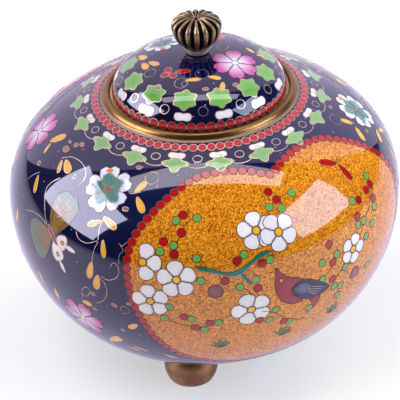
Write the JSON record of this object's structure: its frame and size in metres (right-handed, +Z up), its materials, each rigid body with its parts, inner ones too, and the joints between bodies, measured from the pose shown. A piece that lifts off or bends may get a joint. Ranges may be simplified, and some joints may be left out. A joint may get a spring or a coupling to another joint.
{
  "type": "cloisonne lidded jar",
  "caption": "Squat round cloisonne enamel jar on bun feet, with a brass mouth collar and a domed lid that lifts off by its fluted brass knob.",
  "frame": {"origin": "on the ground under the jar's axis, at the level of the feet", "axes": "+Z up along the jar's axis, -Y towards the front that the picture shows"},
  "size_m": [0.12, 0.12, 0.1109],
  "materials": {
    "navy_enamel": "polished cloisonne enamel on metal, with fine brass wires",
    "lid_enamel": "polished cloisonne enamel on metal, with fine brass wires",
    "collar_brass": "polished, darkened in the corners",
    "calyx_brass": "worn pale",
    "knob_bronze": "dark patina in the grooves, bright on the ribs",
    "foot_brass": "brown patina, satin"
  },
  "bodies": {
    "root": {"jar_body": "navy_enamel", "mouth_collar": "collar_brass", "lid": "lid_enamel", "knob_calyx": "calyx_brass", "knob": "knob_bronze", "foot_1": "foot_brass", "foot_2": "foot_brass", "foot_3": "foot_brass"}
  },
  "joints": []
}
